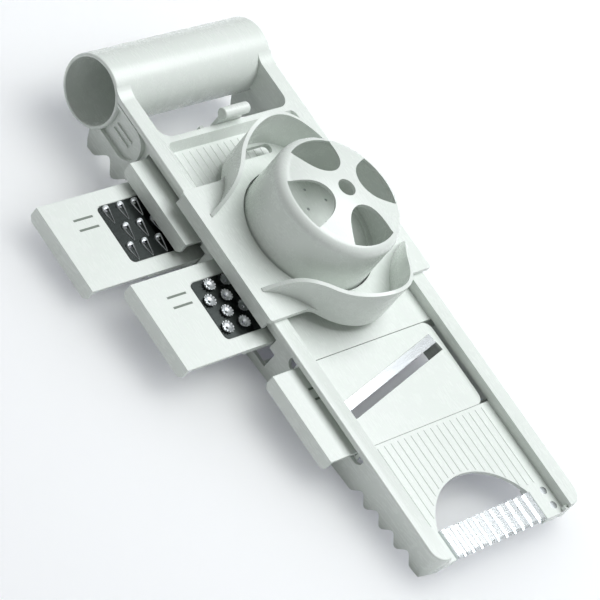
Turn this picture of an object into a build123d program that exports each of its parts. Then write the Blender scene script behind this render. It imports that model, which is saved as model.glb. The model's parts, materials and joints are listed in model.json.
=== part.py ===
from build123d import *
import math
import os

# Hand mandoline: a wedge-shaped body with a tube handle at its high end, a ribbed slicing deck
# between two rails, two storage racks under the deck, four drawer-like blade inserts and a
# food holder that slides on the rails with a domed pusher in its middle.
#
# Everything is drawn in the deck frame: X across the body, Y from the crinkle-cut end towards
# the handle, Z up from the top of the rails.  put_on_table() then turns each piece by the wedge
# angle, so that the side walls stand on the plane Z = 0.  All sizes are millimetres.

# --- driving dimensions -------------------------------------------------------------------

BODY_WIDTH = 128.0          # over the outer edges of the two rails
RAIL_WIDTH = 10.9
RAIL_THICK = 3.0
RAIL_OVERHANG = 3.0         # rail edge beyond the side wall
WALL = 2.4                  # side wall thickness
SKIRT = 2.0                 # inner lip from the rail down to the deck
DECK_DROP = 6.4             # deck surface below the rails
DECK_THICK = 2.2
END_RADIUS = 9.0            # body corners at the crinkle-cut end
RETURN_LENGTH = 10.2        # end wall that closes each side at the crinkle-cut end
RETURN_FOOT = -11.0         # its foot next to the blade

TABLE_DEPTH = 21.1          # rail top to table at the crinkle-cut end
TABLE_SLOPE = 0.0748        # extra depth for each millimetre towards the handle
STAND_Y = 170.0             # deck-frame Y that becomes the origin on the table

TUBE_RADIUS = 22.0
TUBE_WALL = 2.2
TUBE_Y = 336.4
TUBE_Z = -15.9
TUBE_RIM = 1.3              # rounding of the tube's outer rims
TUBE_BORE_RIM = 0.7
SADDLE_RADIUS = 16.0        # hollow blend from the rails up onto the tube
POCKET_RADIUS = 12.0        # oval rim round the thumb rest below the tube
POCKET_RIM = 1.6
POCKET_Y = 299.2
POCKET_Z = -15.6
POCKET_RIB_ENDS = (297.2, 312.0)
POCKET_RIB_HEIGHTS = (-19.1, -15.1)

WINDOW_START = 287.5        # hand window between crossbar and tube
WINDOW_RADIUS = 8.0
WINDOW_SKIRT = -18.0        # lower edge of the lips round the window
DECK_END = 284.0            # upper end of the deck, at the crossbar
SLOPE_FOOT = 280.6          # where the crossbar's slope meets the deck
BED_RADIUS = 4.0

INSERT_LENGTH = 132.0
INSERT_WIDTH = 57.7
INSERT_PLATE = 2.2
INSERT_DEEP = 4.2           # over plate and guide ribs
INSERT_FLANGE = 9.4         # height of the outer finger flange
FLANGE_THICK = 2.2
FLANGE_CHAMFER = 2.6
INSERT_CORNER = 6.0         # rounding of the two corners that enter first
GUIDE_START = 46.0          # guide ribs under the plate, from its outer edge
GUIDE_STOP = 7.0            # and short of its inner edge
GUIDE_WIDTH = 2.0
MARK_ENDS = (17.8, 32.5)    # two short grooves on the plate, from its outer edge
MARK_OFFSETS = (14.1, 20.8)
MARK_WIDTH = 1.3
MARK_DEEP = 0.9
INSERT_BAY_START = 76.9     # working bay in the deck
INSERT_BAY_END = 135.2
BAY_SLOT_RADIUS = 4.25      # round-ended slot through the left wall at the bay
BAY_SLOT_Z = -7.8
BAY_SLOT_OVER = 2.1         # how far its end circles lie beyond the bay
PANEL_START = 37.8          # from the outer edge of the insert
PANEL_LENGTH = 85.5
PANEL_WIDTH = 39.0
PANEL_OFFSET = 9.2
STEEL = 0.6                 # sheet thickness of every blade and panel
TOOTH_RISE = 1.6
CROWN_RADIUS = 3.9          # punched crowns of the rasp panel
CROWN_BORE = 2.6
SCOOP_HALF = 2.5            # drop-shaped scoops of the coarse panel
SCOOP_BACK = 2.9            # hood behind the scoop's centre
SCOOP_TAIL = 9.0            # point of the opening in front of it
SCOOP_BORE = 1.9
RING_RADIUS = 1.9           # small rings of the fine panel
RING_BORE = 1.3
RING_RISE = 1.0
FIT = 0.25                  # gap between pieces that slide on each other

LEVEL_UPPER = -10.8         # plate tops of the stored inserts
LEVEL_LOWER = -22.6
LEVEL_SHIFT = 5.0           # the lower level lies this much nearer the crinkle-cut end
RACK_FLOOR = -28.0

HOLDER_Y = 206.4
HOLDER_HALF = 68.4
HOLDER_LENGTH = 90.0
HOLDER_UNDER = 0.3
HOLDER_TOP = 3.4
HOLDER_LIP = -5.6           # lower edge of the lips outside the rails
SLOT_NEAR = 259.4           # slot through the plate behind the pusher
SLOT_FAR = 265.9
SLOT_HALF = 13.5
SLOT_CORNER = 3.1
WAIST_RADIUS = 9.0          # blend between the plate and its bell-shaped ends
WELL_RADIUS = 42.6
COLLAR_WALL = 2.2
COLLAR_FOOT = -5.2

# the finger guards stand on a bell-shaped line: a convex arc about a point on the holder's
# centre line, then a concave arc that runs out to the side of the plate
BELL_CENTRE = 23.7          # from the pusher's axis
BELL_RADIUS = 40.3
BELL_TURN = 55.0            # half angle of the convex arc
BELL_FLARE = 52.0           # radius of the concave arc
BELL_TIP = 13.0             # slope left at the tip
GUARD_WALL = 2.2
GUARD_TOP = 40.0            # blank height before the crest is cut
GUARD_CREST = ((0, 30.8), (11.0, 29.6), (22.0, 26.6), (34.0, 22.4), (44.0, 18.2), (53.0, 10.8), (60.5, 3.9))

CATCH_HALF = 10.4           # half width of the sprung catch for the holder
CATCH_ROLL = 3.5
CATCH_ROLL_Y = 288.9
CATCH_ROLL_Z = 8.5
CATCH_HINGE_Y = 290.5
CATCH_HINGE_Z = -12.0
CATCH_PIN = 1.2
CATCH_BARREL = 2.6
CATCH_THICK = 2.0

CAP_RADIUS = 41.7
CAP_SHOULDER = 33.0
CAP_TOP = 44.5
CAP_WALL = 2.2
CAP_DRAFT = 0.6             # the side leans in by this much up to the shoulder
CAP_TURN = 6.6              # radius of the shoulder
CAP_FOOT = -4.6
CAP_HOLE = 5.6              # round hole in the middle of the crown
DOME_PLACE = 0.52           # point on the shallow dome, as parts of its radius and rise
DOME_RISE = 0.76
SEAT_HEIGHT = 1.6           # rib inside the cap above the spike plate
LEAF_OUTER = 36.3
LEAF_SPREAD = 26.6          # half angle of a finger opening

HALF = BODY_WIDTH / 2
RAIL_IN = HALF - RAIL_WIDTH
WALL_OUT = HALF - RAIL_OVERHANG
WALL_IN = WALL_OUT - WALL
DECK_TOP = -DECK_DROP
DECK_UNDER = DECK_TOP - DECK_THICK
WEDGE_ANGLE = math.degrees(math.atan(TABLE_SLOPE))

# name: (outer edge X, lower edge Y, plate top Z)
INSERT_PLACES = {
    "slicer": (-81.7, 77.2, DECK_TOP - 0.2),
    "fine": (-75.4, 226.1, LEVEL_UPPER),
    "coarse": (-143.5, 221.1, LEVEL_LOWER),
    "rasp": (-128.8, 155.7, LEVEL_UPPER),
}


# --- small helpers ------------------------------------------------------------------------

def block(x, y, z):
    """A box from three (low, high) pairs."""
    size = Box(x[1] - x[0], y[1] - y[0], z[1] - z[0])
    return Pos((x[0] + x[1]) / 2, (y[0] + y[1]) / 2, (z[0] + z[1]) / 2) * size


def upright(radius, x, y, z):
    """A cylinder along Z from z[0] to z[1]."""
    return Pos(x, y, (z[0] + z[1]) / 2) * Cylinder(radius, z[1] - z[0])


def crosswise(radius, y, z, x):
    """A cylinder along X from x[0] to x[1]."""
    turned = Rot(0, 90, 0) * Cylinder(radius, x[1] - x[0])
    return Pos((x[0] + x[1]) / 2, y, z) * turned


def side_sheet(points, x):
    """A sheet in the YZ plane, given as (y, z) points, filling x[0] to x[1]."""
    face = make_face(Polyline(*[(x[0], y, z) for y, z in points], close=True))
    return extrude(face, x[1] - x[0], dir=(1, 0, 0))


def cross_sheet(points, y):
    """A sheet in the XZ plane, given as (x, z) points, filling y[0] to y[1]."""
    face = make_face(Polyline(*[(x, y[0], z) for x, z in points], close=True))
    return extrude(face, y[1] - y[0], dir=(0, 1, 0))


def rounded_block(x, y, z, radius):
    """A box whose four upright edges are rounded."""
    return fillet(block(x, y, z).edges().filter_by(Axis.Z), radius)


def fuse(pieces):
    """One solid from pieces that touch or overlap."""
    whole = pieces[0]
    for piece in pieces[1:]:
        whole = whole + piece
    return whole


def table_depth(y):
    """Deck-frame Z of the table under the point y."""
    return -TABLE_DEPTH - TABLE_SLOPE * y


def put_on_table(shape):
    """Turn a piece from the deck frame to the table frame."""
    return Rot(WEDGE_ANGLE, 0, 0) * Pos(0, -STAND_Y, -table_depth(STAND_Y)) * shape


# --- body: side walls, rails, tube ----------------------------------------------------------

WAVE_STEPS = 10


def wave_edge(start, pitch, count, depth):
    """Rounded teeth along the foot of a side wall, from tip to tip."""
    points = []
    for step in range(WAVE_STEPS * count + 1):
        y = start + pitch * step / WAVE_STEPS
        lift = depth / 2 * (1 - math.cos(2 * math.pi * step / WAVE_STEPS))
        points.append((y, table_depth(y) + lift))
    return points


def wall_outline():
    """Side wall seen from the side: rounded foot teeth near both ends."""
    outline = [(0, -RAIL_THICK), (0, -13.5), (1.8, -17.0), (4.0, table_depth(4.0))]
    outline += wave_edge(11.0, 13.7, 4, 6.0)
    outline += wave_edge(276.0, 18.2, 2, 8.5)
    outline += [(318.0, table_depth(318.0)), (321.0, -41.0), (324.5, -34.0), (331.0, -30.0)]
    outline += [(336.0, -RAIL_THICK)]
    return outline


def bay_slot(x):
    """Round-ended slot in the left wall for the insert in use."""
    ends = (INSERT_BAY_START - BAY_SLOT_OVER, INSERT_BAY_END + BAY_SLOT_OVER)
    circles = [crosswise(BAY_SLOT_RADIUS, y, BAY_SLOT_Z, x) for y in ends]
    middle = block(x, ends, (BAY_SLOT_Z - BAY_SLOT_RADIUS, BAY_SLOT_Z + BAY_SLOT_RADIUS))
    return fuse(circles + [middle])


def storage_window(x, upper_start):
    """Stepped opening through which two stored inserts slide."""
    edge = 1.0
    lower_start = upper_start - LEVEL_SHIFT
    step = LEVEL_UPPER - INSERT_DEEP - 1.0
    upper = (upper_start - edge, upper_start + INSERT_WIDTH + edge)
    lower = (lower_start - edge, lower_start + INSERT_WIDTH + edge)
    return block(x, upper, (step, DECK_UNDER)) + block(x, lower, (RACK_FLOOR + 0.5, step))


def thumb_pocket(side):
    """Raised oval rim on the outside of the wall, next to the tube, with two ribs inside."""
    x = sorted((side * WALL_OUT, side * HALF))

    def oval(radius):
        body = block(x, (POCKET_Y, TUBE_Y), (POCKET_Z - radius, POCKET_Z + radius))
        return crosswise(radius, POCKET_Y, POCKET_Z, x) + body

    rim = oval(POCKET_RADIUS) - oval(POCKET_RADIUS - POCKET_RIM)
    shallow = sorted((side * WALL_OUT, side * (WALL_OUT + 1.2)))
    ribs = [block(shallow, POCKET_RIB_ENDS, (z, z + 1.0)) for z in POCKET_RIB_HEIGHTS]
    return [rim] + ribs


def wall_blank(side):
    """Upright side wall with a rounded return across the crinkle-cut end."""
    start = WALL_OUT - RETURN_LENGTH
    z = (table_depth(TUBE_Y), -RAIL_THICK)
    radius = END_RADIUS - RAIL_OVERHANG
    outer = block((start, WALL_OUT), (0, TUBE_Y), z)
    outer = fillet(outer.edges().filter_by(Axis.Z).sort_by_distance((WALL_OUT, 0, z[0]))[0], radius)
    inner = block((start - 1, WALL_IN), (WALL, TUBE_Y + 1), (z[0] - 1, z[1] + 1))
    inner = fillet(inner.edges().filter_by(Axis.Z).sort_by_distance((WALL_IN, WALL, z[0]))[0], radius - WALL)
    foot = [(start - 1, z[0] - 1), (start - 1, RETURN_FOOT), (WALL_OUT - radius, RETURN_FOOT - 4.5)]
    foot += [(WALL_OUT - radius, z[0] - 1)]
    blank = outer - inner - cross_sheet(foot, (-1, WALL))
    return blank if side > 0 else mirror(blank, Plane.YZ)


def side_wall(side):
    """One side wall; the left one has the insert slots."""
    wall = wall_blank(side) & side_sheet(wall_outline(), (-WALL_OUT, WALL_OUT))
    if side < 0:
        through = (-WALL_OUT - 1, -WALL_IN + 1)
        wall -= bay_slot(through)
        wall -= storage_window(through, INSERT_PLACES["rasp"][1])
        wall -= storage_window(through, INSERT_PLACES["fine"][1])
    wall = fuse([wall] + thumb_pocket(side))
    return wall - crosswise(TUBE_RADIUS, TUBE_Y, TUBE_Z, (-HALF - 1, HALF + 1))


def window_side(side):
    """Lip along one side of the hand window, with a rounded corner at the crossbar."""
    z = (WINDOW_SKIRT, -RAIL_THICK)
    lip = block(sorted((side * RAIL_IN, side * (RAIL_IN + SKIRT))), (WINDOW_START, TUBE_Y), z)
    corner_x = sorted((side * RAIL_IN, side * (RAIL_IN - WINDOW_RADIUS)))
    corner = block(corner_x, (WINDOW_START, WINDOW_START + WINDOW_RADIUS), (WINDOW_SKIRT, 0))
    hollow_x = side * (RAIL_IN - WINDOW_RADIUS)
    corner -= upright(WINDOW_RADIUS, hollow_x, WINDOW_START + WINDOW_RADIUS, (WINDOW_SKIRT - 1, 1))
    return [lip, corner]


def saddle(x):
    """Hollow wedge that leads from the rail's top up onto the tube."""
    reach = TUBE_RADIUS + SADDLE_RADIUS
    start = TUBE_Y - math.sqrt(reach ** 2 - (SADDLE_RADIUS - TUBE_Z) ** 2)
    share = TUBE_RADIUS / reach
    end = (TUBE_Y + (start - TUBE_Y) * share, TUBE_Z + (SADDLE_RADIUS - TUBE_Z) * share)
    lean = math.atan2(end[0] - start, SADDLE_RADIUS - end[1]) / 2
    middle = (start + SADDLE_RADIUS * math.sin(lean), SADDLE_RADIUS * (1 - math.cos(lean)))
    arc = ThreePointArc((x[0], start, 0), (x[0], *middle), (x[0], *end))
    low = -RAIL_THICK
    below = Polyline((x[0], *end), (x[0], end[0], low), (x[0], start, low), (x[0], start, 0))
    return extrude(make_face([arc, below]), x[1] - x[0], dir=(1, 0, 0))


def rail(side):
    """Flat rail with a lip down to the deck; the left lip is lower cut at the working bay."""
    low, high = sorted((side * RAIL_IN, side * HALF))
    strip = block((low, high), (0, TUBE_Y - 6), (-RAIL_THICK, 0))
    corner_x = side * HALF
    corner = strip.edges().filter_by(Axis.Z).sort_by_distance((corner_x, 0, -RAIL_THICK / 2))[0]
    strip = fillet(corner, END_RADIUS)
    top_edges = strip.edges().filter_by(Axis.Y)
    strip = fillet(top_edges.sort_by_distance((corner_x, 100, 0))[0], 1.0)
    lip_low, lip_high = sorted((side * RAIL_IN, side * (RAIL_IN + SKIRT)))
    lip = block((lip_low, lip_high), (WALL, DECK_END), (DECK_TOP, -RAIL_THICK))
    bay_top = -4.3 if side < 0 else DECK_TOP + 0.2
    gap = block((lip_low - 1, lip_high + 1), (INSERT_BAY_START, INSERT_BAY_END), (DECK_TOP - 1, bay_top))
    whole = fuse([strip, lip - gap, saddle((low, high))] + window_side(side))
    return whole - crosswise(TUBE_RADIUS, TUBE_Y, TUBE_Z, (-HALF - 1, HALF + 1))


def handle_tube():
    x = (-HALF, HALF)
    tube = crosswise(TUBE_RADIUS, TUBE_Y, TUBE_Z, x)
    tube -= crosswise(TUBE_RADIUS - TUBE_WALL, TUBE_Y, TUBE_Z, (-HALF - 1, HALF + 1))
    rims = tube.edges().filter_by(GeomType.CIRCLE)
    tube = fillet([rim for rim in rims if rim.radius > TUBE_RADIUS - 1], TUBE_RIM)
    bores = tube.edges().filter_by(GeomType.CIRCLE).filter_by(lambda rim: rim.radius < TUBE_RADIUS - 2)
    return fillet(bores, TUBE_BORE_RIM)


def cross_bar():
    """Wall between the deck and the hand window, sloping down to the deck."""
    skirt = WINDOW_START - 1.6
    points = [(SLOPE_FOOT, DECK_TOP), (DECK_END, 0), (WINDOW_START, 0), (WINDOW_START, WINDOW_SKIRT)]
    points += [(skirt, WINDOW_SKIRT), (skirt, DECK_UNDER), (SLOPE_FOOT, DECK_UNDER)]
    bar = side_sheet(points, (-RAIL_IN, RAIL_IN))
    ears = []
    for side in (-1, 1):
        x = sorted((side * RAIL_IN, side * (RAIL_IN - BED_RADIUS)))
        corner = block(x, (DECK_END - BED_RADIUS, DECK_END), (DECK_TOP, 0))
        hollow_x = side * (RAIL_IN - BED_RADIUS)
        ears.append(corner - upright(BED_RADIUS, hollow_x, DECK_END - BED_RADIUS, (DECK_TOP - 1, 1)))
    for side in (-1, 1):
        x = sorted((side * (CATCH_HALF + FIT), side * (CATCH_HALF + 3.0)))
        ears.append(block(x, (WINDOW_START, CATCH_HINGE_Y + 3.0), (CATCH_HINGE_Z - 3.5, CATCH_HINGE_Z + 3.5)))
    whole = fuse([bar] + ears)
    return whole - crosswise(CATCH_PIN, CATCH_HINGE_Y, CATCH_HINGE_Z, (-CATCH_HALF - 4, CATCH_HALF + 4))


def body_nodes():
    return {
        "left_rail": rail(-1),
        "right_rail": rail(1),
        "left_wall": side_wall(-1),
        "right_wall": side_wall(1),
        "handle_tube": handle_tube(),
        "cross_bar": cross_bar(),
    }


# --- decks, racks, crinkle blade --------------------------------------------------------------

CUT_X = -3.5                # centre of the round opening over the crinkle blade
CUT_Y = -0.6
CUT_RADIUS = 44.1
CUT_BASE = 18.5
BLADE_LOW = -43.6
BLADE_HIGH = 37.0
TAB_LEFT = 5.0
TAB_RIGHT = 13.5
TAB_Z = -8.2
BLOCK_LENGTH = 22.5
PIN_X = 47.8
PIN_YS = (6.0, 16.0)


def bay_ledge(edge, towards):
    """Ledge below the deck edge that carries the guide rib of the insert in use."""
    floor = INSERT_PLACES["slicer"][2] - INSERT_DEEP - 0.1
    web = sorted((edge, edge - towards * 2.0))
    shelf = sorted((edge - towards * 2.0, edge + towards * 2.6))
    return [
        block((-WALL_IN, WALL_IN), web, (floor - 1.4, DECK_UNDER)),
        block((-WALL_IN, WALL_IN), shelf, (floor - 1.4, floor)),
    ]


def upper_deck():
    plate = block((-WALL_IN, WALL_IN), (INSERT_BAY_END, SLOPE_FOOT), (DECK_UNDER, DECK_TOP))
    return fuse([plate] + bay_ledge(INSERT_BAY_END, -1))


def round_cut(z):
    """Opening over the crinkle blade: an arch that runs out at the end of the body."""
    arch = upright(CUT_RADIUS, CUT_X, CUT_Y, z)
    arch &= block((-WALL_IN, WALL_IN), (CUT_BASE, 60), z)
    return arch + block((BLADE_LOW, BLADE_HIGH), (-1, CUT_BASE), z)


def lower_deck():
    plate = block((-WALL_IN, WALL_IN), (0, INSERT_BAY_START), (DECK_UNDER, DECK_TOP))
    left = block((-WALL_IN, BLADE_LOW), (0, BLOCK_LENGTH), (-12.0, DECK_UNDER))
    right = block((BLADE_HIGH, WALL_IN), (0, BLOCK_LENGTH), (-12.0, DECK_UNDER))
    deck = fuse([plate, left, right]) - round_cut((-13.0, 0))
    for side in (-1, 1):
        deck -= wall_blank(side)
        deck -= block(sorted((side * (WALL_OUT - RETURN_LENGTH), side * WALL_OUT)), (-1, WALL), (-13.0, 0))
    deck = fuse([deck] + bay_ledge(INSERT_BAY_START, 1))
    tabs = block((BLADE_LOW - TAB_LEFT, BLADE_LOW + 1), (0, CUT_BASE), (TAB_Z, TAB_Z + STEEL))
    tabs += block((BLADE_HIGH - 1, BLADE_HIGH + TAB_RIGHT), (0, CUT_BASE), (TAB_Z, TAB_Z + STEEL))
    deck -= tabs
    for y in PIN_YS:
        deck -= upright(1.5, PIN_X, y, (-13, 0))
        deck -= upright(2.4, PIN_X, y, (DECK_TOP - 0.9, 0))
    return deck


def crinkle_blade():
    """Corrugated strip with flat ends held in the deck's two end blocks."""
    waves = 11
    pitch = (BLADE_HIGH - BLADE_LOW) / waves
    rise = 2.0
    flank = 1.1
    top = [(BLADE_LOW - TAB_LEFT, TAB_Z), (BLADE_LOW, TAB_Z)]
    for number in range(waves):
        x = BLADE_LOW + number * pitch
        top += [(x + 0.7, TAB_Z), (x + 0.7 + flank, TAB_Z + rise)]
        top += [(x + pitch - 0.6 - flank, TAB_Z + rise), (x + pitch - 0.6, TAB_Z)]
    top += [(BLADE_HIGH + TAB_RIGHT, TAB_Z)]
    upper = [(x, z + STEEL) for x, z in reversed(top)]
    blade = cross_sheet(top + upper, (0, CUT_BASE))
    for y in PIN_YS:
        blade -= upright(1.5, PIN_X, y, (-13, 0))
    return blade


def blade_pins():
    """Two pins through the right end block and the blade's flat end."""
    pins = []
    for y in PIN_YS:
        shank = upright(1.5, PIN_X, y, (-12.6, DECK_TOP - 0.9))
        head = upright(2.4, PIN_X, y, (DECK_TOP - 0.9, DECK_TOP - 0.3))
        foot = upright(2.2, PIN_X, y, (-12.8, -12.0))
        pins.append(shank + head + foot)
    return Compound(children=[pin.solid() for pin in pins])


RACK_WALL = 1.8
LEDGE = 2.4
LEDGE_THICK = 1.0
STOP_THICK = 1.6            # end wall that the stored inserts stop at


def rack(upper_start):
    """Two stepped cross walls with ledges for two inserts, tied at the far end."""
    x = (-WALL_IN, WALL_IN)
    upper_ledge = LEVEL_UPPER - INSERT_DEEP - 0.1
    lower_ledge = LEVEL_LOWER - INSERT_DEEP - 0.1
    step = upper_ledge - LEDGE_THICK

    def wall(edge, inward):
        """Cross wall whose inner face is at edge, with ledges pointing inward."""
        shifted = edge - LEVEL_SHIFT
        reach = inward * LEDGE
        outer = -inward * RACK_WALL
        faces = (edge, edge + outer, shifted, shifted + outer)
        pieces = [
            block(x, sorted((edge, edge + outer)), (upper_ledge, DECK_UNDER)),
            block(x, (min(faces), max(faces)), (step, upper_ledge)),
            block(x, sorted((edge, edge + reach)), (step, upper_ledge)),
            block(x, sorted((shifted, shifted + outer)), (RACK_FLOOR, step)),
            block(x, sorted((shifted, shifted + reach)), (lower_ledge - LEDGE_THICK, lower_ledge)),
        ]
        return pieces

    low_edge = upper_start - FIT
    high_edge = upper_start + INSERT_WIDTH + FIT
    stop_x = (WALL_IN - STOP_THICK, WALL_IN)
    lower_stop = block(stop_x, (low_edge - LEVEL_SHIFT, high_edge - LEVEL_SHIFT), (RACK_FLOOR, step))
    upper_stop = block(stop_x, (low_edge, high_edge), (step, DECK_UNDER))
    return fuse(wall(low_edge, 1) + wall(high_edge, -1) + [lower_stop + upper_stop])


def deck_nodes():
    return {
        "upper_deck": upper_deck(),
        "lower_deck": lower_deck(),
        "front_rack": rack(INSERT_PLACES["rasp"][1]),
        "rear_rack": rack(INSERT_PLACES["fine"][1]),
        "crinkle_blade": crinkle_blade(),
        "blade_pins": blade_pins(),
    }


# --- holder catch -------------------------------------------------------------------------------

def holder_catch():
    """Springy tongue with a rolled top that stops the food holder at the end of its slide."""
    x = (-CATCH_HALF, CATCH_HALF)
    roll = crosswise(CATCH_ROLL, CATCH_ROLL_Y, CATCH_ROLL_Z, x)
    roll = fillet(roll.edges().filter_by(GeomType.CIRCLE), 0.8)
    tongue = block(x, (WINDOW_START + FIT, WINDOW_START + FIT + CATCH_THICK), (CATCH_HINGE_Z, CATCH_ROLL_Z))
    barrel = crosswise(CATCH_BARREL, CATCH_HINGE_Y, CATCH_HINGE_Z, x)
    bore = crosswise(CATCH_PIN + 0.05, CATCH_HINGE_Y, CATCH_HINGE_Z, (-CATCH_HALF - 1, CATCH_HALF + 1))
    return roll + tongue + barrel - bore


def catch_pin():
    """Pin through the catch, held in the crossbar's two ears."""
    return crosswise(CATCH_PIN, CATCH_HINGE_Y, CATCH_HINGE_Z, (-CATCH_HALF - 3.0, CATCH_HALF + 3.0))


# --- inserts ------------------------------------------------------------------------------------

def insert_frame(name):
    """Tray-like carrier: plate, guide ribs, finger flange, a window and a rebate for steel."""
    x0, y0, top = INSERT_PLACES[name]
    x1 = x0 + INSERT_LENGTH
    y1 = y0 + INSERT_WIDTH
    plate = block((x0, x1), (y0, y1), (top - INSERT_PLATE, top))
    far = [plate.edges().filter_by(Axis.Z).sort_by_distance((x1, y, top))[0] for y in (y0, y1)]
    plate = fillet(far, INSERT_CORNER)
    flange = block((x0, x0 + FLANGE_THICK), (y0, y1), (top - INSERT_FLANGE, top - INSERT_PLATE))
    flange = chamfer(flange.edges().filter_by(Axis.X).group_by(Axis.Z)[0], FLANGE_CHAMFER)
    guide_x = (x0 + GUIDE_START, x1 - GUIDE_STOP)
    guides = []
    for low in (y0, y1 - GUIDE_WIDTH):
        guides.append(block(guide_x, (low, low + GUIDE_WIDTH), (top - INSERT_DEEP, top - INSERT_PLATE)))
    frame = fuse([plate, flange] + guides)
    for offset in MARK_OFFSETS:
        y = (y1 - offset - MARK_WIDTH / 2, y1 - offset + MARK_WIDTH / 2)
        frame -= block((x0 + MARK_ENDS[0], x0 + MARK_ENDS[1]), y, (top - MARK_DEEP, top + 1))
    return frame


def panel_box(name, margin, z):
    """The steel panel's rectangle on an insert, shrunk by margin."""
    x0, y0, top = INSERT_PLACES[name]
    x = (x0 + PANEL_START + margin, x0 + PANEL_START + PANEL_LENGTH - margin)
    y = (y0 + PANEL_OFFSET + margin, y0 + PANEL_OFFSET + PANEL_WIDTH - margin)
    return rounded_block(x, y, (top + z[0], top + z[1]), 3.5 - margin / 2)


def grating_frame(name):
    frame = insert_frame(name)
    frame -= panel_box(name, 0, (-STEEL, 1))
    return frame - panel_box(name, 1.6, (-INSERT_PLATE - 1, 1))


def staggered(name, first, pitch, columns, rows):
    """Centres of teeth; rows holds the two row lists that columns take in turn."""
    x0, y0, top = INSERT_PLACES[name]
    places = []
    for column in range(columns):
        for row in rows[column % 2]:
            places.append((x0 + PANEL_START + first + column * pitch, y0 + PANEL_OFFSET + row, top))
    return places


def coarse_panel():
    """Steel sheet with raised hoods over drop-shaped openings."""
    sheet = panel_box("coarse", 0, (-STEEL, 0))
    for x, y, top in staggered("coarse", 5.5, 5.55, 14, ((10.2, 35.4), (22.2,))):
        bore = upright(SCOOP_BORE, x, y, (top - 2, top + 1))
        point = [(x - SCOOP_BORE, y, top), (x, y - SCOOP_TAIL, top), (x + SCOOP_BORE, y, top)]
        tail = extrude(make_face(Polyline(*point, close=True)), 2 * STEEL, dir=(0, 0, -1))
        foot = top - STEEL / 2
        roof = [(x - SCOOP_HALF, foot), (x + SCOOP_HALF, foot), (x, top + TOOTH_RISE)]
        hood = cross_sheet(roof, (y - 1.0, y + SCOOP_BACK))
        inside = (x - SCOOP_HALF / 2, x + SCOOP_HALF / 2)
        hollow = block(inside, (y - 2, y + SCOOP_BORE), (top - 1, top + 0.7))
        sheet = sheet - bore - tail + (hood - hollow)
    return sheet


def ringed_panel(name, places, radius, bore, rise):
    """Steel sheet with a raised ring round each hole."""
    sheet = panel_box(name, 0, (-STEEL, 0))
    for x, y, top in places:
        ring = upright(radius, x, y, (top - STEEL, top + rise))
        sheet = sheet + ring - upright(bore, x, y, (top - 2, top + 2))
    return sheet


def rasp_panel():
    places = staggered("rasp", 5.5, 6.65, 12, ((7.0, 25.0), (16.0, 34.0)))
    return ringed_panel("rasp", places, CROWN_RADIUS, CROWN_BORE, TOOTH_RISE)


def fine_panel():
    places = staggered("fine", 6.0, 7.35, 11, ((5.0, 14.0, 23.0, 32.0), (9.5, 18.5, 27.5)))
    return ringed_panel("fine", places, RING_RADIUS, RING_BORE, RING_RISE)


BLADE_SLOPE = math.radians(12.5)
THROAT_WIDTH = 5.6
STRIP_WIDTH = 6.2
STRIP_REACH = 95.0
STRIP_X = 34.7              # lower end of the cutting edge, from the insert's corner
STRIP_Y = 23.2
STRIP_BEVEL = 0.45


def slanted_bar(name, near, far, z):
    """A bar along the slanted cutting line, from near to far on the handle side of it."""
    x0, y0, top = INSERT_PLACES[name]
    angle = math.degrees(BLADE_SLOPE)
    bar = block((0, STRIP_REACH), (near, far), z)
    return Pos(x0 + STRIP_X, y0 + STRIP_Y, top) * Rot(0, 0, angle) * bar


def slicer_frame():
    frame = insert_frame("slicer")
    frame -= slanted_bar("slicer", -THROAT_WIDTH, 0, (-INSERT_PLATE - 1, 1))
    return frame - slanted_bar("slicer", 0, STRIP_WIDTH, (-STEEL, 1))


def slicer_blade():
    """Straight blade, bevelled along the edge that faces the throat."""
    blade = slanted_bar("slicer", 0, STRIP_WIDTH, (-STEEL, 0))
    cutting = blade.edges().filter_by(GeomType.LINE)
    x0, y0, top = INSERT_PLACES["slicer"]
    along = STRIP_REACH / 2
    middle_x = x0 + STRIP_X + along * math.cos(BLADE_SLOPE)
    middle_y = y0 + STRIP_Y + along * math.sin(BLADE_SLOPE)
    edge = cutting.sort_by_distance((middle_x, middle_y, top - STEEL))[0]
    return chamfer(edge, STRIP_BEVEL)


def insert_nodes():
    return {
        "slicer_frame": slicer_frame(),
        "slicer_blade": slicer_blade(),
        "fine_frame": grating_frame("fine"),
        "fine_panel": fine_panel(),
        "coarse_frame": grating_frame("coarse"),
        "coarse_panel": coarse_panel(),
        "rasp_frame": grating_frame("rasp"),
        "rasp_panel": rasp_panel(),
    }


# --- food holder and pusher -----------------------------------------------------------------------

def bell(inset, z):
    """Solid under the bell-shaped line, inset from it, from the holder's middle outwards."""
    turn = math.radians(BELL_TURN)
    convex = BELL_RADIUS - inset
    flare = BELL_FLARE + inset
    reach = BELL_RADIUS + BELL_FLARE

    def on_convex(angle):
        return (convex * math.sin(angle), BELL_CENTRE + convex * math.cos(angle))

    def on_flare(angle):
        x = reach * math.sin(turn) - flare * math.sin(angle)
        return (x, BELL_CENTRE + reach * math.cos(turn) - flare * math.cos(angle))

    def left(point):
        return (-point[0], point[1])

    tip = math.radians(BELL_TIP)
    joint = on_convex(turn)
    end = on_flare(tip)
    half_way = on_flare((tip + turn) / 2)
    edges = [
        ThreePointArc(left(joint), on_convex(0), joint),
        ThreePointArc(joint, half_way, end),
        Polyline(end, (end[0], 0), (-end[0], 0), left(end)),
        ThreePointArc(left(end), left(half_way), left(joint)),
    ]
    return Pos(0, 0, z[0]) * extrude(make_face(edges), z[1] - z[0])


def front_and_rear(shape):
    """A shape drawn about the pusher's axis and its copy turned to the front."""
    return Pos(0, HOLDER_Y, 0) * shape, Pos(0, HOLDER_Y, 0) * Rot(0, 0, 180) * shape


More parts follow.
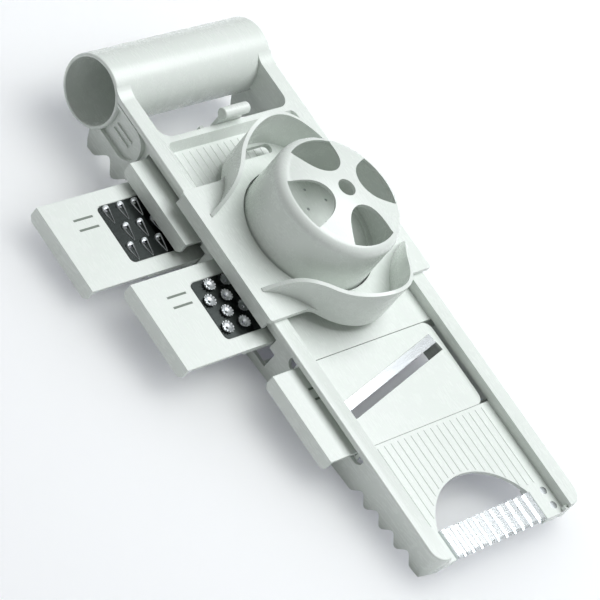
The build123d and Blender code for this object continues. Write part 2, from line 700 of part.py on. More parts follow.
def holder_plate():
    z = (HOLDER_UNDER, HOLDER_TOP)
    y = (HOLDER_Y - HOLDER_LENGTH / 2, HOLDER_Y + HOLDER_LENGTH / 2)
    plate = rounded_block((-HOLDER_HALF, HOLDER_HALF), y, z, 1.5)
    plate = fuse([plate, *front_and_rear(bell(0, z))])
    waists = []
    for edge in plate.edges().filter_by(Axis.Z):
        if 25 < abs(edge.center().X) < 45:
            waists.append(edge)
    plate = fillet(waists, WAIST_RADIUS)
    plate -= upright(WELL_RADIUS, 0, HOLDER_Y, (-1, 10))
    return plate - rounded_block((-SLOT_HALF, SLOT_HALF), (SLOT_NEAR, SLOT_FAR), (-1, 10), SLOT_CORNER)


def holder_lips():
    """Lips outside the rails that keep the holder on its track."""
    y = (HOLDER_Y - HOLDER_LENGTH / 2 + 1.5, HOLDER_Y + HOLDER_LENGTH / 2 - 1.5)
    lips = []
    for side in (-1, 1):
        x = sorted((side * (HOLDER_HALF - 2.5), side * HOLDER_HALF))
        lips.append(block(x, y, (HOLDER_LIP, HOLDER_UNDER)).solid())
    return Compound(children=lips)


def holder_guard(side):
    """Curved finger guard, highest in the middle and running out at both tips."""
    blank = bell(0, (HOLDER_TOP, GUARD_TOP)) - bell(GUARD_WALL, (HOLDER_TOP - 1, GUARD_TOP + 1))
    right = [(x, 0, z) for x, z in GUARD_CREST]
    left = [(-x, 0, z) for x, z in reversed(GUARD_CREST[1:])]
    crest = Spline(*(left + right))
    low = HOLDER_TOP - 1
    sides = Polyline(right[-1], (right[-1][0], 0, low), (left[0][0], 0, low), left[0])
    mask = extrude(make_face([crest, sides]), 80, dir=(0, 1, 0))
    guard = blank & mask
    return front_and_rear(guard)[0 if side > 0 else 1]


def well_collar():
    """Short sleeve under the holder plate that guides the pusher."""
    ring = upright(WELL_RADIUS + COLLAR_WALL, 0, HOLDER_Y, (COLLAR_FOOT, HOLDER_UNDER))
    return ring - upright(WELL_RADIUS, 0, HOLDER_Y, (-6, 1))


def leaf():
    """Finger opening: sharp corners near the rim, rounded towards the middle."""
    spread = math.radians(LEAF_SPREAD)
    corner = (LEAF_OUTER * math.cos(spread), LEAF_OUTER * math.sin(spread))
    upper = [corner, (23.8, 13.5), (15.4, 8.2), (12.2, 0)]
    lower = [(x, -y) for x, y in reversed(upper[:-1])]
    rim = ThreePointArc((corner[0], -corner[1]), (LEAF_OUTER, 0), corner)
    return make_face([rim, Spline(*(upper + lower))])


def cap_profile(radius, shoulder, top, low):
    """Half section of the domed cap."""
    rim = radius - CAP_DRAFT
    edge_x = rim - CAP_TURN
    edge_z = shoulder + CAP_TURN
    slant = CAP_TURN * math.sin(math.radians(45))
    wall = Line((0, low), (radius, low))
    side = Line((radius, low), (rim, shoulder))
    turn = ThreePointArc((rim, shoulder), (edge_x + slant, shoulder + slant), (edge_x, edge_z))
    over = (edge_x * DOME_PLACE, edge_z + (top - edge_z) * DOME_RISE)
    crown = ThreePointArc((edge_x, edge_z), over, (0, top))
    axis = Line((0, top), (0, low))
    return make_face([wall, side, turn, crown, axis])


def turned(face):
    """A solid of revolution about the pusher's own axis, from a half section."""
    upright_face = Plane.XZ * face
    return Pos(0, HOLDER_Y, 0) * revolve(upright_face, Axis.Z)


def cap_hollow():
    """Space inside the domed cap."""
    inner = CAP_RADIUS - CAP_WALL
    return turned(cap_profile(inner, CAP_SHOULDER - CAP_DRAFT, CAP_TOP - CAP_WALL, CAP_FOOT - 1.4))


def pusher_cap():
    cap = turned(cap_profile(CAP_RADIUS, CAP_SHOULDER, CAP_TOP, CAP_FOOT)) - cap_hollow()
    for number in range(4):
        petal = Pos(0, HOLDER_Y, 25.0) * Rot(0, 0, 90 * number) * extrude(leaf(), 30.0)
        cap -= petal
    return cap - upright(CAP_HOLE, 0, HOLDER_Y, (30, 60))


SPIKE_PLATE_LOW = 4.0
SPIKE_PLATE_HIGH = 6.2
SPIKE_RADIUS = 0.9
SPIKE_RINGS = ((0.0, 1), (13.0, 6), (27.0, 12))
SPIKE_SHANK = -3.2          # where the point begins
SPIKE_POINT = 2.0
SPIKE_TIP = 0.15


def spike_places():
    places = []
    for radius, count in SPIKE_RINGS:
        for number in range(count):
            angle = 2 * math.pi * number / count
            places.append((radius * math.cos(angle), HOLDER_Y + radius * math.sin(angle)))
    return places


def spike_plate():
    plate = upright(CAP_RADIUS - CAP_WALL - 0.6, 0, HOLDER_Y, (SPIKE_PLATE_LOW, SPIKE_PLATE_HIGH))
    plate &= cap_hollow()
    for x, y in spike_places():
        plate -= upright(SPIKE_RADIUS, x, y, (0, 10))
    return plate


def plate_seat():
    """Rib inside the cap that the spike plate is pressed against."""
    inside = CAP_RADIUS - CAP_WALL
    z = (SPIKE_PLATE_HIGH, SPIKE_PLATE_HIGH + SEAT_HEIGHT)
    ring = upright(inside + 0.4, 0, HOLDER_Y, z)
    return ring - upright(inside - 3.0, 0, HOLDER_Y, (0, 20))


def food_spikes():
    """Steel spikes that hold the food, pointed at the foot."""
    spikes = []
    for x, y in spike_places():
        shank = upright(SPIKE_RADIUS, x, y, (SPIKE_SHANK, SPIKE_PLATE_HIGH))
        cone = Cone(SPIKE_RADIUS, SPIKE_TIP, SPIKE_POINT)
        point = Pos(x, y, SPIKE_SHANK - SPIKE_POINT / 2) * Rot(180, 0, 0) * cone
        spikes.append((shank + point).solid())
    return Compound(children=spikes)


def holder_nodes():
    return {
        "holder_plate": holder_plate(),
        "holder_lips": holder_lips(),
        "rear_guard": holder_guard(1),
        "front_guard": holder_guard(-1),
        "well_collar": well_collar(),
        "pusher_cap": pusher_cap() + plate_seat(),
        "spike_plate": spike_plate(),
        "food_spikes": food_spikes(),
    }


# --- write every piece --------------------------------------------------------------------------

def main():
    os.makedirs("parts", exist_ok=True)
    nodes = body_nodes()
    nodes.update(deck_nodes())
    nodes.update({"holder_catch": holder_catch(), "catch_pin": catch_pin()})
    nodes.update(insert_nodes())
    nodes.update(holder_nodes())
    for name, shape in nodes.items():
        export_step(put_on_table(shape), f"parts/{name}.step")


main()
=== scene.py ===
import json
import math

import bmesh
import bpy
from mathutils import Matrix, Vector


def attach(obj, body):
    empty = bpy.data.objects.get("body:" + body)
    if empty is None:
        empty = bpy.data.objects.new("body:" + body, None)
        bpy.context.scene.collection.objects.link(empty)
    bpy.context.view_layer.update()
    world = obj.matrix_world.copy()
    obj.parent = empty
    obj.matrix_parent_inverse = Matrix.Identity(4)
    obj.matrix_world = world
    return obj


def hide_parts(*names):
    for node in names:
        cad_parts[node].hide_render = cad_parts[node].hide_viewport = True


bl_info = {
    "name": "Hand Mandoline",
    "version": (1, 0, 0),
    "blender": (4, 5, 0),
    "location": "View3D > Sidebar > Mandoline",
    "description": "Builds the visible pieces of a hand mandoline around its packed frame",
    "category": "Object",
}

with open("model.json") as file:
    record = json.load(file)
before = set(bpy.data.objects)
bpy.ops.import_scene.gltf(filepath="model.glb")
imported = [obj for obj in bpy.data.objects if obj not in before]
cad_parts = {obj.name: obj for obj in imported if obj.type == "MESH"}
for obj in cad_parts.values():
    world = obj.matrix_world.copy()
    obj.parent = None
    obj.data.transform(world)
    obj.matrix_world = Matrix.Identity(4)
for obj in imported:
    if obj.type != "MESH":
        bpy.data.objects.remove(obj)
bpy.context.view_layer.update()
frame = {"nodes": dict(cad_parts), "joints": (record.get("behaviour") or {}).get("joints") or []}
MM = 0.001

JOINTS = {joint["name"]: joint for joint in frame["joints"]}
HOLDER_AXIS = JOINTS["holder_slide"]["axis"]
WEDGE = math.atan2(HOLDER_AXIS[2], HOLDER_AXIS[1])
TILT = Matrix.Rotation(WEDGE, 4, "X")
LEVEL = TILT.inverted()

# rounded edges that differ from the general Edge round
SLIM_EDGE = 0.2 * MM
PIN_EDGE = 0.25 * MM
FRAME_EDGE = 0.28 * MM
BLADE_EDGE = 0.04 * MM
MARK_EDGE = 0.1 * MM

# deck ribs: how far their ends stay from what lies beside them
RIB_BLADE_GAP = 4.0 * MM
RIB_INSERT_GAP = 2.6 * MM
RIB_BAR_GAP = 1.2 * MM
RIB_CUT_GAP = 1.4 * MM
# half-round opening in the lower deck; its centre lies just beyond the blade's outer edge
OPENING_RADIUS = 44.1 * MM
OPENING_X = -3.5 * MM
OPENING_BEYOND = 0.6 * MM

# crinkle blade: its sheet, the flat strips left and right of the waves, and its ground edge
STRIP_THICK = 0.6 * MM
FLAT_LEFT = 5.0 * MM
FLAT_RIGHT = 13.5 * MM
GROUND_WIDTH = 1.6 * MM
# upper and lower line of the cutting edge, as shares of the thickness
EDGE_LINES = (0.45, 0.35)
# one wave: share of the pitch, then share of the rise
WAVE = (
    (0.05, 0.0), (0.11, 0.12), (0.2, 0.88), (0.27, 1.0), (0.78, 0.96), (0.85, 0.84), (0.95, 0.1),
)

# pierced sheets in the grating inserts, and the scale of the fine one's crowns
SHEET_GAP = 0.4 * MM
SHEET_CORNER = 3.4 * MM
SHEET_THICK = 0.6 * MM
SMALL_CROWN = 0.6

# short marks on each insert: their middles, from the plate's left end, handle side and top
MARK_ROWS = (14.1 * MM, 20.8 * MM)
MARK_MIDDLE = 25.15 * MM
MARK_BELOW = 0.4 * MM
MARK_SIZE = (14.6 * MM, 1.2 * MM, 0.6 * MM)

# food spikes under the pusher
SPIKE_CONE = 2.2 * MM
SPIKE_RINGS = {
    "Inner Count": 6, "Inner Radius": 13.0 * MM,
    "Outer Count": 12, "Outer Radius": 27.0 * MM,
}

# studio, in metres except for the sensor's width in millimetres
SENSOR_WIDTH = 36.0
CAMERA_TARGET = Vector((-0.0018, 0.0115, 0.0036))
FLOOR_REACH = 6.0
KEY_PLACE = Vector((0.8, -0.1, 1.85))
KEY_TARGET = Vector((0, 0, 0.03))
KEY_SIZE = 1.7
KEY_TONE = (0.96, 0.982, 1.0)


# --- measuring the frame in deck axes ---------------------------------------------------------

def deck_box(node):
    """Lowest and highest corner of a CAD node along the tilted deck's own axes."""
    corners = [LEVEL @ vertex.co for vertex in frame["nodes"][node].data.vertices]
    low = Vector(min(point[axis] for point in corners) for axis in range(3))
    high = Vector(max(point[axis] for point in corners) for axis in range(3))
    return low, high


# --- settings ---------------------------------------------------------------------------------

def hex_to_linear(text):
    """sRGB hex to the linear RGBA that the shaders take."""
    values = [int(text[i:i + 2], 16) / 255 for i in (1, 3, 5)]
    linear = [v / 12.92 if v <= 0.04045 else ((v + 0.055) / 1.055) ** 2.4 for v in values]
    return (*linear, 1.0)


def colour(name, description, text):
    return bpy.props.FloatVectorProperty(
        name=name, description=description, subtype="COLOR", size=4, min=0, max=1,
        default=hex_to_linear(text))


def length(name, description, millimetres):
    return bpy.props.FloatProperty(
        name=name, description=description, unit="LENGTH", subtype="DISTANCE",
        default=millimetres * MM, min=0, precision=5)


def count(name, description, number):
    return bpy.props.IntProperty(name=name, description=description, default=number, min=1)


def angle(name, description, degrees):
    return bpy.props.FloatProperty(
        name=name, description=description, subtype="ANGLE", default=math.radians(degrees))


def amount(name, description, value, least=0):
    return bpy.props.FloatProperty(name=name, description=description, default=value, min=least)


class MandolineFinish(bpy.types.PropertyGroup):
    abs_light: colour("ABS light", "Lighter tone of the moulded plastic", "#E9EDE9")
    abs_deep: colour("ABS deep", "Slightly greener tone in thicker walls", "#E0E6E0")
    blade_tone: colour("Blade", "Ground stainless of blades and teeth", "#E6E9EB")
    honed_tone: colour("Honed edge", "Bright stainless of the two cutting blades", "#E2E6E8")
    # panel tone: painted dark reflection, darker than bare stainless, so that the sheet looks as if it
    # mirrors dark surroundings
    panel_painted_reflection_tone: colour("Panel", "Darkened stainless sheet between the teeth", "#3C403F")
    wire_tone: colour("Wire", "Drawn stainless pins and spikes", "#B2B5B7")
    # grey filling of the marks, darker than the plate
    mark_grey_tone: colour("Ink", "Grey filling of the short marks on the inserts", "#7A837A")
    edge_round: length("Edge round", "Radius of the moulded edges", 0.5)


class MandolineDetail(bpy.types.PropertyGroup):
    rib_count: count("Ribs", "Raised lines on each deck", 17)
    rib_pitch: length("Rib pitch", "Spacing of the deck ribs", 5.66)
    rib_width: length("Rib width", "Width of one deck rib", 1.5)
    rib_height: length("Rib height", "Height of one deck rib", 0.4)
    wave_count: count("Waves", "Corrugations of the crinkle blade", 11)
    tooth_height: length("Tooth height", "Height of the panel teeth", 1.7)
    scoop_width: length("Scoop width", "Width of a scoop on the coarse panel", 5.2)
    scoop_length: length("Scoop length", "Length of a scoop from its hood to its point", 12.0)
    crown_radius: length("Crown radius", "Outer radius of a crown on the rasp panel", 3.9)
    crown_petals: count("Crown petals", "Points round one crown", 12)
    spike_radius: length("Spike radius", "Radius of the food spikes", 0.9)


class MandolineStage(bpy.types.PropertyGroup):
    azimuth: angle("Azimuth", "Camera direction round the object", -66.65)
    elevation: angle("Elevation", "Camera height angle", 39.0)
    roll: angle("Roll", "Turn of the camera about its own axis", 36.87)
    distance: length("Distance", "Camera to the object", 1800)
    lens: amount("Lens", "Focal length in millimetres", 190.2, 1)
    floor_tone: colour("Floor", "Translucent white studio table", "#FDFDFF")
    floor_scatter: length("Floor scatter", "How far light spreads inside the studio table", 160)
    air_tone: colour("Air", "Pale light from all sides", "#F0F4F2")
    air_strength: amount("Air strength", "Strength of the light from all sides", 0.26)
    key_power: amount("Key power", "Large soft light, in watts", 43)


def finish():
    return bpy.context.scene.mandoline_finish


def detail():
    return bpy.context.scene.mandoline_detail


# --- materials --------------------------------------------------------------------------------

def add_node(tree, kind, settings=None, links=None):
    """Adds a node; settings name attributes or input sockets, links map inputs to output sockets."""
    node = tree.nodes.new(kind)
    for name, value in (settings or {}).items():
        if hasattr(node, name):
            setattr(node, name, value)
        else:
            node.inputs[name].default_value = value
    for name, source in (links or {}).items():
        tree.links.new(source, node.inputs[name])
    return node


def new_material(name):
    """A material with its node tree, its Principled shader and the object's own coordinates."""
    surface = bpy.data.materials.new(name)
    surface.use_nodes = True
    tree = surface.node_tree
    shader = tree.nodes["Principled BSDF"]
    place = add_node(tree, "ShaderNodeTexCoord").outputs["Object"]
    return surface, tree, shader, place


def moulded_abs():
    """Glossy injection-moulded ABS: faintly cloudy colour, sink ripples and a few rub marks."""
    surface, tree, shader, place = new_material("moulded_abs")
    # cloudiness about 45 mm across
    cloud = add_node(tree, "ShaderNodeTexNoise", {"Scale": 22.0, "Detail": 3.0}, {"Vector": place})
    tone = add_node(tree, "ShaderNodeMix", {"data_type": "RGBA"}, {"Factor": cloud.outputs["Fac"]})
    tone.inputs["A"].default_value = finish().abs_light
    tone.inputs["B"].default_value = finish().abs_deep
    tree.links.new(tone.outputs["Result"], shader.inputs["Base Color"])
    # flow marks about 8 mm apart, seen only in reflections
    ripple = add_node(tree, "ShaderNodeTexNoise", {"Scale": 120.0, "Detail": 2.0}, {"Vector": place})
    # rub marks 0.4 mm wide and 6 mm long, coarser than the real ones so that they show
    stretched = add_node(
        tree, "ShaderNodeMapping", {"Scale": (2400.0, 160.0, 1200.0)}, {"Vector": place})
    rubs = add_node(
        tree, "ShaderNodeTexNoise", {"Scale": 1.0, "Detail": 1.0}, {"Vector": stretched.outputs["Vector"]})
    wear = add_node(tree, "ShaderNodeMath", {"operation": "MULTIPLY"})
    tree.links.new(ripple.outputs["Fac"], wear.inputs[0])
    tree.links.new(rubs.outputs["Fac"], wear.inputs[1])
    gloss = add_node(
        tree, "ShaderNodeMapRange", {"To Min": 0.2, "To Max": 0.46}, {"Value": wear.outputs["Value"]})
    tree.links.new(gloss.outputs["Result"], shader.inputs["Roughness"])
    skin = add_node(
        tree, "ShaderNodeBump", {"Strength": 0.04, "Distance": 0.0002}, {"Height": ripple.outputs["Fac"]})
    tree.links.new(skin.outputs["Normal"], shader.inputs["Normal"])
    shader.inputs["IOR"].default_value = 1.53
    shader.inputs["Subsurface Weight"].default_value = 0.06
    shader.inputs["Subsurface Radius"].default_value = (0.003, 0.004, 0.003)
    return surface


def steel(name, tone, gloss_low, gloss_high):
    """Stainless with fine marks along X, 0.4 mm apart: coarser than the real ones so that they show."""
    surface, tree, shader, place = new_material(name)
    stretched = add_node(
        tree, "ShaderNodeMapping", {"Scale": (60.0, 2500.0, 2500.0)}, {"Vector": place})
    grain = add_node(
        tree, "ShaderNodeTexNoise", {"Scale": 1.0, "Detail": 2.0}, {"Vector": stretched.outputs["Vector"]})
    limits = {"To Min": gloss_low, "To Max": gloss_high}
    gloss = add_node(tree, "ShaderNodeMapRange", limits, {"Value": grain.outputs["Fac"]})
    tree.links.new(gloss.outputs["Result"], shader.inputs["Roughness"])
    marks = add_node(
        tree, "ShaderNodeBump", {"Strength": 0.06, "Distance": 0.00005}, {"Height": grain.outputs["Fac"]})
    tree.links.new(marks.outputs["Normal"], shader.inputs["Normal"])
    shader.inputs["Base Color"].default_value = tone
    shader.inputs["Metallic"].default_value = 1.0
    return surface


def blade_steel():
    """Hardened stainless, finely ground: a broad bright sheen that fills the small faces."""
    return steel("ground_stainless_blade", finish().blade_tone, 0.34, 0.46)


def honed_steel():
    """Hardened stainless, honed bright: clear lands against darker flanks."""
    return steel("honed_stainless_blade", finish().honed_tone, 0.16, 0.24)


def painted_reflection_panel_steel():
    """Stainless sheet with a painted dark reflection: its tone is darkened to stand in for the dark
    surroundings that it mirrors. It is smooth, so that the bright teeth stand out.
    """
    return steel("stainless_sheet_painted_dark_reflection", finish().panel_painted_reflection_tone, 0.16, 0.3)


def drawn_wire():
    """Drawn stainless wire of the pins and spikes: satin, a little duller than the blades."""
    return steel("drawn_stainless_wire", finish().wire_tone, 0.24, 0.4)


def grey_mark_fill():
    """Grey filling of the marks, darker than the plate: matt, slightly uneven."""
    surface, tree, shader, place = new_material("grey_mark_filling")
    # unevenness about 2 mm across
    patchy = add_node(tree, "ShaderNodeTexNoise", {"Scale": 500.0, "Detail": 2.0}, {"Vector": place})
    matt = add_node(
        tree, "ShaderNodeMapRange", {"To Min": 0.5, "To Max": 0.7}, {"Value": patchy.outputs["Fac"]})
    tree.links.new(matt.outputs["Result"], shader.inputs["Roughness"])
    shader.inputs["Base Color"].default_value = finish().mark_grey_tone
    return surface


# the ink entry is the grey filling of the marks, darker than the plate
MAKERS = {
    "abs": moulded_abs, "blade": blade_steel, "honed": honed_steel,
    "panel": painted_reflection_panel_steel, "wire": drawn_wire, "ink": grey_mark_fill,
}
MATERIALS = {}


def material(name):
    """Makes each material once."""
    if name not in MATERIALS:
        MATERIALS[name] = MAKERS[name]()
    return MATERIALS[name]


# --- shaping helpers --------------------------------------------------------------------------

WELD = 0.01 * MM
JOIN_WELD = 0.05 * MM
JOIN_OVERLAP = 0.02 * MM
SHEET_WELD = 0.001 * MM
FLAT = math.radians(0.6)
SHARP = math.radians(38)


def link_mesh(name, mesh):
    obj = bpy.data.objects.new(name, mesh)
    bpy.context.scene.collection.objects.link(obj)
    return obj


def dress(obj, surface):
    obj.data.materials.clear()
    obj.data.materials.append(material(surface))


def settle(obj, body, nodes):
    """Gives a finished piece its body and the CAD nodes that it stands for."""
    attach(obj, body)
    if nodes:
        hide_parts(*nodes)


def apply_modifiers(obj):
    """Turns the evaluated object into its own plain mesh."""
    graph = bpy.context.evaluated_depsgraph_get()
    mesh = bpy.data.meshes.new_from_object(obj.evaluated_get(graph))
    old = obj.data
    obj.modifiers.clear()
    obj.data = mesh
    bpy.data.meshes.remove(old)


def rework(obj, change):
    """Runs change on the object's mesh as a bmesh."""
    work = bmesh.new()
    work.from_mesh(obj.data)
    change(work)
    work.to_mesh(obj.data)
    work.free()


def flatten(work, weld=WELD):
    """Welds the vertices and joins flat regions into single faces."""
    bmesh.ops.remove_doubles(work, verts=work.verts, dist=weld)
    bmesh.ops.dissolve_limit(work, angle_limit=FLAT, verts=work.verts, edges=work.edges)
    for face in work.faces:
        face.smooth = True


def clean_copy(node, name=None):
    """A welded copy of a CAD node's mesh with flat regions joined into single faces."""
    mesh = frame["nodes"][node].data.copy()
    mesh.materials.clear()
    obj = link_mesh(name or node + "_skin", mesh)
    rework(obj, flatten)
    return obj


def soften(obj, width):
    """Rounds the sharp edges and keeps flat faces flat."""
    bevel = obj.modifiers.new("edges", "BEVEL")
    bevel.width = width
    bevel.segments = 2
    bevel.limit_method = "ANGLE"
    bevel.angle_limit = SHARP
    weigh = obj.modifiers.new("normals", "WEIGHTED_NORMAL")
    weigh.keep_sharp = True
    apply_modifiers(obj)


def skin_node(node, body, surface, width=None):
    """Stands a softened copy in for a CAD node whose shape is right."""
    obj = clean_copy(node)
    soften(obj, finish().edge_round if width is None else width)
    dress(obj, surface)
    settle(obj, body, [node])


def moulding(name, nodes, body):
    """One moulded piece from CAD nodes that meet face to face, with its edges rounded."""
    whole = clean_copy(nodes[0], name)
    for node in nodes[1:]:
        other = clean_copy(node)
        swell = other.modifiers.new("overlap", "DISPLACE")
        swell.strength = JOIN_OVERLAP
        swell.mid_level = 0
        apply_modifiers(other)
        join = whole.modifiers.new("join", "BOOLEAN")
        join.operation = "UNION"
        join.solver = "EXACT"
        join.object = other
        apply_modifiers(whole)
        bpy.data.objects.remove(other)
    rework(whole, lambda work: flatten(work, JOIN_WELD))
    soften(whole, finish().edge_round)
    dress(whole, "abs")
    settle(whole, body, nodes)


# --- geometry node trees ------------------------------------------------------------------------

def new_tree(name, inputs):
    """A geometry node tree with named inputs; returns the tree, its input node and output node."""
    tree = bpy.data.node_groups.new(name, "GeometryNodeTree")
    tree.interface.new_socket("Geometry", in_out="OUTPUT", socket_type="NodeSocketGeometry")
    tree.interface.new_socket("Geometry", in_out="INPUT", socket_type="NodeSocketGeometry")
    kinds = {int: "NodeSocketInt", float: "NodeSocketFloat"}
    for label, value in inputs.items():
        kind = kinds.get(type(value))
        if kind is None:
            kind = "NodeSocketMaterial" if isinstance(value, bpy.types.Material) else "NodeSocketObject"
        tree.interface.new_socket(label, in_out="INPUT", socket_type=kind)
    return tree, tree.nodes.new("NodeGroupInput"), tree.nodes.new("NodeGroupOutput")


def grow(name, make_tree, inputs):
    """Runs a geometry node tree on a new object and keeps the result as a plain mesh in deck axes."""
    obj = link_mesh(name, bpy.data.meshes.new(name))
    modifier = obj.modifiers.new("grow", "NODES")
    modifier.node_group = make_tree(inputs)
    for item in modifier.node_group.interface.items_tree:
        if item.in_out == "INPUT" and item.name in inputs:
            modifier[item.identifier] = inputs[item.name]
    apply_modifiers(obj)
    obj.data.transform(TILT)
    return obj


def math_node(tree, operation, first, second=0.0):
    """A math node whose two inputs are numbers or output sockets."""
    node = add_node(tree, "ShaderNodeMath", {"operation": operation})
    for socket, value in zip(node.inputs, (first, second)):
        if isinstance(value, (int, float)):
            socket.default_value = value
        else:
            tree.links.new(value, socket)
    return node.outputs[0]


def ribs_tree(inputs):
    """Parallel ribs along Y; each one starts at Start or just beyond the round cut."""
    tree, given, result = new_tree("deck_ribs", inputs)
    value = given.outputs
    half = math_node(tree, "MULTIPLY", math_node(tree, "SUBTRACT", value["Count"], 1.0), 0.5)
    first = math_node(tree, "MULTIPLY", math_node(tree, "MULTIPLY", half, value["Pitch"]), -1.0)
    start = add_node(tree, "ShaderNodeCombineXYZ", {}, {"X": first, "Z": value["Level"]})
    step = add_node(tree, "ShaderNodeCombineXYZ", {}, {"X": value["Pitch"]})
    links = {"Count": value["Count"], "Start Location": start.outputs[0], "Offset": step.outputs[0]}
    line = add_node(tree, "GeometryNodeMeshLine", {}, links)

    position = add_node(tree, "GeometryNodeInputPosition").outputs[0]
    place = add_node(tree, "ShaderNodeSeparateXYZ", {}, {"Vector": position})
    across = math_node(tree, "SUBTRACT", place.outputs["X"], value["Cut X"])
    radius_squared = math_node(tree, "POWER", value["Cut Radius"], 2.0)
    room = math_node(tree, "SUBTRACT", radius_squared, math_node(tree, "MULTIPLY", across, across))
    arch = math_node(tree, "SQRT", math_node(tree, "MAXIMUM", room, 0.0))
    beyond = math_node(tree, "ADD", math_node(tree, "ADD", value["Cut Y"], arch), value["Cut Gap"])
    low = math_node(tree, "MAXIMUM", beyond, value["Start"])
    middle = math_node(tree, "MULTIPLY", math_node(tree, "ADD", low, value["End"]), 0.5)
    long = math_node(tree, "SUBTRACT", value["End"], low)

    # the length is stored before the points move, because it depends on where each rib stands
    label = {"data_type": "FLOAT", "Name": "rib_length"}
    kept = add_node(
        tree, "GeometryNodeStoreNamedAttribute", label, {"Geometry": line.outputs[0], "Value": long})
    shift = add_node(tree, "ShaderNodeCombineXYZ", {}, {"Y": middle})
    links = {"Geometry": kept.outputs[0], "Offset": shift.outputs[0]}
    moved = add_node(tree, "GeometryNodeSetPosition", {}, links)

    bar = add_node(tree, "GeometryNodeMeshCylinder", {"Vertices": 12, "Radius": 1.0, "Depth": 1.0})
    lying = {"Rotation": (math.pi / 2, 0, 0)}
    laid = add_node(tree, "GeometryNodeTransform", lying, {"Geometry": bar.outputs["Mesh"]})
    wide = math_node(tree, "MULTIPLY", value["Width"], 0.5)
    read = add_node(tree, "GeometryNodeInputNamedAttribute", label)
    links = {"X": wide, "Y": read.outputs["Attribute"], "Z": value["Height"]}
    scale = add_node(tree, "ShaderNodeCombineXYZ", {}, links)
    links = {"Points": moved.outputs[0], "Instance": laid.outputs[0], "Scale": scale.outputs[0]}
    copies = add_node(tree, "GeometryNodeInstanceOnPoints", {}, links)
    finish_tree(tree, copies.outputs[0], value["Material"], result)
    return tree


def finish_tree(tree, geometry, surface, result):
    """Ends a tree in Realize Instances and Set Material."""
    real = add_node(tree, "GeometryNodeRealizeInstances", {}, {"Geometry": geometry})
    final = add_node(tree, "GeometryNodeSetMaterial", {}, {"Geometry": real.outputs[0], "Material": surface})
    tree.links.new(final.outputs[0], result.inputs["Geometry"])


def staggered_points(tree, value):
    """Points in columns that start in turn at First Y or one Row Shift on; none lies past Last Y."""
    total = math_node(tree, "MULTIPLY", value["Columns"], value["Rows"])
    points = add_node(tree, "GeometryNodePoints", {}, {"Count": total})
    index = add_node(tree, "GeometryNodeInputIndex").outputs[0]
    column = math_node(tree, "FLOOR", math_node(tree, "DIVIDE", index, value["Rows"]))
    row = math_node(tree, "MODULO", index, value["Rows"])
    odd = math_node(tree, "MODULO", column, 2.0)
    x = math_node(tree, "ADD", value["First X"], math_node(tree, "MULTIPLY", column, value["Pitch X"]))
    rows_up = math_node(tree, "ADD", value["First Y"], math_node(tree, "MULTIPLY", row, value["Pitch Y"]))
    y = math_node(tree, "ADD", rows_up, math_node(tree, "MULTIPLY", odd, value["Row Shift"]))
    spot = add_node(tree, "ShaderNodeCombineXYZ", {}, {"X": x, "Y": y, "Z": value["Level"]})
    links = {"Geometry": points.outputs[0], "Position": spot.outputs[0]}
    placed = add_node(tree, "GeometryNodeSetPosition", {}, links)
    position = add_node(tree, "GeometryNodeInputPosition").outputs[0]
    here = add_node(tree, "ShaderNodeSeparateXYZ", {}, {"Vector": position})
    beyond = {"data_type": "FLOAT", "operation": "GREATER_THAN"}
    links = {"A": here.outputs["Y"], "B": value["Last Y"]}
    outside = add_node(tree, "FunctionNodeCompare", beyond, links)
    links = {"Geometry": placed.outputs[0], "Selection": outside.outputs[0]}
    return add_node(tree, "GeometryNodeDeleteGeometry", {}, links).outputs[0]


def panel_tree(inputs):
    """A rounded sheet pierced by a staggered pattern of holes."""
    tree, given, result = new_tree("pierced_sheet", inputs)
    value = given.outputs
    hole = add_node(
        tree, "GeometryNodeCurvePrimitiveCircle", {"Resolution": 16}, {"Radius": value["Hole Radius"]})
    links = {"Points": staggered_points(tree, value), "Instance": hole.outputs[0]}
    holes = add_node(tree, "GeometryNodeInstanceOnPoints", {}, links)
    cut = add_node(tree, "GeometryNodeRealizeInstances", {}, {"Geometry": holes.outputs[0]})

    sides = {"Width": value["Length"], "Height": value["Width"]}
    outline = add_node(tree, "GeometryNodeCurvePrimitiveQuadrilateral", {}, sides)
    middle = add_node(
        tree, "ShaderNodeCombineXYZ", {}, {"X": value["Middle X"], "Y": value["Middle Y"]})
    links = {"Geometry": outline.outputs[0], "Translation": middle.outputs[0]}
    moved = add_node(tree, "GeometryNodeTransform", {}, links)
    links = {"Curve": moved.outputs[0], "Radius": value["Corner"]}
    corners = add_node(tree, "GeometryNodeFilletCurve", {"mode": "POLY", "Count": 5}, links)
    both = add_node(tree, "GeometryNodeJoinGeometry", {}, {"Geometry": corners.outputs[0]})
    tree.links.new(cut.outputs[0], both.inputs["Geometry"])

    # filling flattens the curves to level 0, so the sheet is raised to its Level afterwards
    sheet = add_node(tree, "GeometryNodeFillCurve", {}, {"Curve": both.outputs[0]})
    below = math_node(tree, "MULTIPLY", value["Thickness"], -1.0)
    down = add_node(tree, "ShaderNodeCombineXYZ", {}, {"Z": below})
    as_one = {"Offset Scale": 1.0, "Individual": False}
    links = {"Mesh": sheet.outputs[0], "Offset": down.outputs[0]}
    deep = add_node(tree, "GeometryNodeExtrudeMesh", as_one, links)
    closed = add_node(tree, "GeometryNodeJoinGeometry", {}, {"Geometry": deep.outputs["Mesh"]})
    tree.links.new(sheet.outputs[0], closed.inputs["Geometry"])
    level = add_node(tree, "ShaderNodeCombineXYZ", {}, {"Z": value["Level"]})
    links = {"Geometry": closed.outputs[0], "Offset": level.outputs[0]}
    raised = add_node(tree, "GeometryNodeSetPosition", {}, links)
    merged = add_node(
        tree, "GeometryNodeMergeByDistance", {"Distance": SHEET_WELD}, {"Geometry": raised.outputs[0]})
    finish_tree(tree, merged.outputs[0], value["Material"], result)
    return tree


